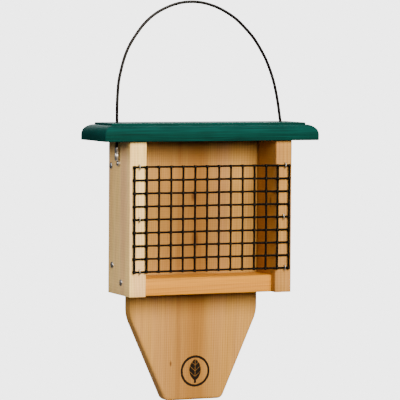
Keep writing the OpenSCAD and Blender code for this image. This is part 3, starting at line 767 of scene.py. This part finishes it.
# The screws. Six pan head screws with cross recesses hold the side boards to the back and the floor,
# two more hold the cable ends, and two countersunk ones go through the back into the floor.
HEAD_D, HEAD_H, SHANK_D, SCREW_L = 6.6, 1.6, 3.5, 32.0
CABLE_HEAD_D, CABLE_HEAD_H, CABLE_SHANK_D, CABLE_SCREW_L = 4.8, 1.3, 3.0, 15.0
POINT_L = 4.0
RECESS_W = 0.95            # width of the cross recess's arms
PAN_RECESS = 0.7           # its depth in a pan head, as a share of the head's height
FLUSH_RECESS = 1.4         # its depth in a countersunk head
LATHE_SIDES = 40


def lathed(bm, profile, sides=LATHE_SIDES):
    """A turned shape about X from (distance along X, radius) pairs in millimetres; radius 0 closes it."""
    rings = []
    for x, r in profile:
        turns = [math.tau * k / sides for k in range(sides)] if r > 0 else [0.0]
        rings.append([bm.verts.new(Vector((x, r * math.cos(t), r * math.sin(t))) * MM) for t in turns])
    for a, b in zip(rings, rings[1:]):
        for k in range(sides):
            n = (k + 1) % sides
            corners = [a[k % len(a)], a[n % len(a)], b[n % len(b)], b[k % len(b)]]
            bm.faces.new(list(dict.fromkeys(corners)))


def recess_cutter(head_d, depth, width):
    """The cross that the driver fits, wider at its mouth than at its bottom."""
    bm = bmesh.new()
    for turn in (20, 110):
        for share, x in ((1.0, -0.5), (0.45, depth)):
            reach, half = head_d * 0.3 * share, width / 2 * (0.6 + 0.4 * share)
            for u, v in ((-reach, -half), (reach, -half), (reach, half), (-reach, half)):
                c, s = math.cos(math.radians(turn)), math.sin(math.radians(turn))
                bm.verts.new(Vector((x, u * c - v * s, u * s + v * c)) * MM)
        bm.verts.ensure_lookup_table()
        mouth, foot = bm.verts[-8:-4], bm.verts[-4:]
        bm.faces.new(mouth)
        bm.faces.new(reversed(foot))
        for k in range(4):
            n = (k + 1) % 4
            bm.faces.new((mouth[n], mouth[k], foot[k], foot[n]))
    return made(bm, "recess_cutter", plated)


def pan_screw(name, head_d, head_h, shank_d, length):
    """One pan head screw that points along X, with the underside of its head at the origin."""
    r = head_d / 2
    dome = [(-head_h + 0.55 * head_h * (k / 8) ** 2.2, r * 0.96 * k / 8) for k in range(9)]
    rim = [(-0.3 * head_h, r * 0.995), (-0.15 * head_h, r), (-0.04, r * 0.985), (0, r * 0.95)]
    shank = [(0, shank_d / 2), (length - POINT_L, shank_d / 2), (length, 0)]
    bm = bmesh.new()
    lathed(bm, dome + rim + shank)
    screw = made(bm, name, plated)
    cutter = recess_cutter(head_d, head_h * PAN_RECESS, RECESS_W)
    for v in cutter.data.vertices:
        v.co.x -= head_h * MM
    cut_out(screw, cutter)
    return screw


SIDE_SCREWS = [f"screw_{side}_{place}" for side in ("left", "right") for place in ("upper", "lower", "floor")]
CABLE_SCREWS = ["cable_screw_left", "cable_screw_right"]
for row, nodes, sizes in (("side_screws", SIDE_SCREWS, (HEAD_D, HEAD_H, SHANK_D, SCREW_L)),
                          ("cable_end_screws", CABLE_SCREWS,
                           (CABLE_HEAD_D, CABLE_HEAD_H, CABLE_SHANK_D, CABLE_SCREW_L))):
    places = []
    for i, node in enumerate(nodes):
        low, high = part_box(node)
        on_left = low.x < BOX_MIDDLE.x
        head_x = low.x + sizes[1] * MM if on_left else high.x - sizes[1] * MM
        stopped_at = 25 * i + 10           # no two screws stop with their crosses at the same angle
        places.append(((head_x, (low.y + high.y) / 2, (low.z + high.z) / 2),
                       (stopped_at, 0, 0 if on_left else 180)))
    screws = driven(row, pan_screw("screw", *sizes), places, plated)
    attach(screws, "box")
    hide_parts(*nodes)

bm = bmesh.new()
flush = [(-0.05, 0), (-0.05, HEAD_D / 2 - 0.25), (0.1, HEAD_D / 2), (2.2, SHANK_D / 2),
         (SCREW_L - POINT_L, SHANK_D / 2), (SCREW_L, 0)]
lathed(bm, flush)
flush_screw = made(bm, "flush_screw", plated)
cut_out(flush_screw, recess_cutter(HEAD_D, FLUSH_RECESS, RECESS_W))
low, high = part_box("floor_back_screws")
places = [((x, high.y, (low.z + high.z) / 2), (turn, 0, -90))
          for x, turn in ((low.x + HEAD_D / 2 * MM, 15), (high.x - HEAD_D / 2 * MM, 50))]
rear_screws = driven("rear_screws", flush_screw, places, plated)
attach(rear_screws, "box")
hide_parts("floor_back_screws")

# The cable ends. A soft aluminium sleeve is swaged on to each end of the cable in two crimps, and
# its flattened foot is pressed into an eye that a small screw holds to the side board.
BARREL_R, BARREL_L, BORE_R, BORE_L = 2.2, 13.0, 1.55, 9.0
BARREL_OUT = 2.5           # from the board's face to the barrel's centreline
CRIMP_W, CRIMP_DEPTH = 1.2, 0.45
CRIMP_SHAPE = ((-0.62, 0), (-0.4, 0.35), (-0.2, 1), (0.2, 1), (0.4, 0.35), (0.62, 0))
EYE_R, EYE_T, EYE_HOLE = 3.0, 1.6, 1.65
EYE_DROP = 2.5             # from the barrel's foot to the middle of the eye
NECK_HALF = 1.7            # half the width of the neck between the barrel and the eye
BOARD_FACE_X = LEG_X - BARREL_OUT


def soft_aluminium():
    """Swaged aluminium: pale, matt to satin, with fine draw lines along it."""
    material, tree, shader = new_material("swaged_aluminium", Metallic=1.0)
    coords = add(tree, "ShaderNodeTexCoord")["Object"]
    drawn = add(tree, "ShaderNodeMapping", {"Vector": coords, "Scale": (1, 1, 0.08)})[0]
    lines = add(tree, "ShaderNodeTexNoise", {
        "Vector": drawn, "Scale": 2.5 / MM, "Detail": 2.0})["Fac"]
    tone = add(tree, "ShaderNodeValToRGB", [lines],
               stops=[(0.3, linear("#CFCFD0")), (0.8, linear("#A4A5A7"))])["Color"]
    rough = add(tree, "ShaderNodeMapRange", [lines, 0.3, 0.7, 0.3, 0.45])[0]
    tree.links.new(tone, shader.inputs["Base Color"])
    tree.links.new(rough, shader.inputs["Roughness"])
    return material


def cable_end():
    """One swaged end for the left board, with the board's face at X 0 and the barrel's top at Z 0."""
    grooves = [BARREL_L - 0.9, BARREL_L * 0.42]
    profile = [(BORE_L, 0), (BORE_L, BORE_R), (0.25, BORE_R), (0, BORE_R + 0.25), (0, BARREL_R - 0.3),
               (0.3, BARREL_R)]
    for middle in sorted(grooves):
        for off, depth in CRIMP_SHAPE:
            profile.append((middle + off * CRIMP_W, BARREL_R - depth * CRIMP_DEPTH))
    profile += [(BARREL_L - 0.1, BARREL_R - 0.05), (BARREL_L, BARREL_R - 0.3), (BARREL_L, 0)]
    bm = bmesh.new()
    lathed(bm, profile, sides=28)
    down = Matrix(((0, 0, 1), (0, 1, 0), (-1, 0, 0)))
    bmesh.ops.transform(bm, matrix=down.to_4x4(), verts=bm.verts)
    bmesh.ops.translate(bm, vec=(-BARREL_OUT * MM, 0, 0), verts=bm.verts)
    eye_z = -BARREL_L - EYE_DROP
    rims = []
    outline = [(EYE_R * math.sin(math.radians(a)), eye_z - EYE_R * math.cos(math.radians(a)))
               for a in range(-146, 147, 12)]
    outline += [(NECK_HALF, -BARREL_L + 0.3), (-NECK_HALF, -BARREL_L + 0.3)]
    hole = [(EYE_HOLE * math.sin(a), eye_z - EYE_HOLE * math.cos(a)) for a in
            (math.tau * k / 24 for k in range(24))]
    for x in (-0.02, -EYE_T):
        rims.append([[bm.verts.new(Vector((x, p[0], p[1])) * MM) for p in loop] for loop in (outline, hole)])
    for loop in (0, 1):
        count = len(rims[0][loop])
        for k in range(count):
            n = (k + 1) % count
            bm.faces.new((rims[0][loop][k], rims[0][loop][n], rims[1][loop][n], rims[1][loop][k]))
    for face_rims in rims:
        edges = [bm.edges.get((r[k], r[(k + 1) % len(r)])) for r in face_rims for k in range(len(r))]
        bmesh.ops.triangle_fill(bm, edges=edges, use_beauty=True)
    return made(bm, "cable_end", aluminium, sharp=40)


aluminium = soft_aluminium()
places = [(at(-BOARD_FACE_X, 0, BARREL_TOP_Z), (0, 0, 0)), (at(BOARD_FACE_X, 0, BARREL_TOP_Z), (0, 0, 180))]
ends = driven("cable_end_sleeves", cable_end(), places, aluminium)
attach(ends, "box")
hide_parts("cable_end_left", "cable_end_right")

# The studio. A plain pale floor lies some way below the hanging feeder. The main soft light stands in
# front and above, weaker ones stand to the left, overhead and behind, and the surround is pale.
FLOOR_DROP = 1.2
bm = bmesh.new()
bmesh.ops.create_circle(bm, cap_ends=True, segments=96, radius=1.9)
bmesh.ops.translate(bm, vec=(BOX_MIDDLE.x, 0, cad_box[0].z - FLOOR_DROP), verts=bm.verts)
paper = new_material("white_paper", Roughness=0.9, Base_Color=linear("#F4F4F2"))[0]
made(bm, "studio_floor", paper)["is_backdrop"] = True


def soft_light(name, place, target, width, height, power, colour, spread=60):
    """A soft box at a place, aimed at a target, with a grid that keeps its light within a spread."""
    light = bpy.data.lights.new(name, "AREA")
    light.shape, light.size, light.size_y, light.spread = "RECTANGLE", width, height, math.radians(spread)
    light.energy, light.color = power, linear(colour)[:3]
    lamp = bpy.data.objects.new(name, light)
    lamp.location = place
    lamp.rotation_euler = (Vector(target) - Vector(place)).to_track_quat("-Z", "Y").to_euler()
    bpy.context.scene.collection.objects.link(lamp)


middle = (cad_box[0] + cad_box[1]) / 2
soft_light("overhead_soft_box", middle + Vector((0.0, -0.2, 1.5)), middle, 1.0, 1.0, 4, "#FFFFFF")
soft_light("front_soft_box", middle + Vector((0.1, -2.15, 0.93)), middle, 1.8, 1.45, 30, "#FFEED0")
soft_light("left_soft_box", middle + Vector((-1.5, 0.15, 0.73)), middle, 0.8, 0.8, 2.5, "#FFF4F0")
soft_light("rear_soft_box", middle + Vector((0.7, 2.0, 0.9)), middle, 1.2, 1.0, 9, "#FFFFFF")
world = bpy.data.worlds.new("pale_surround")
world.use_nodes = True
bpy.context.scene.world = world
world_tree = world.node_tree
background = world_tree.nodes["Background"]
ray = add(world_tree, "ShaderNodeLightPath")
level = add(world_tree, "ShaderNodeMapRange", [ray["Is Camera Ray"], 0.0, 1.0, 0.06, 4.0])
background.inputs["Color"].default_value = linear("#FFFFFF")
world_tree.links.new(level[0], background.inputs["Strength"])

shown_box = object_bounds()
sizes = {"cad": [list(c) for c in cad_box], "visual": [list(c) for c in shown_box]}
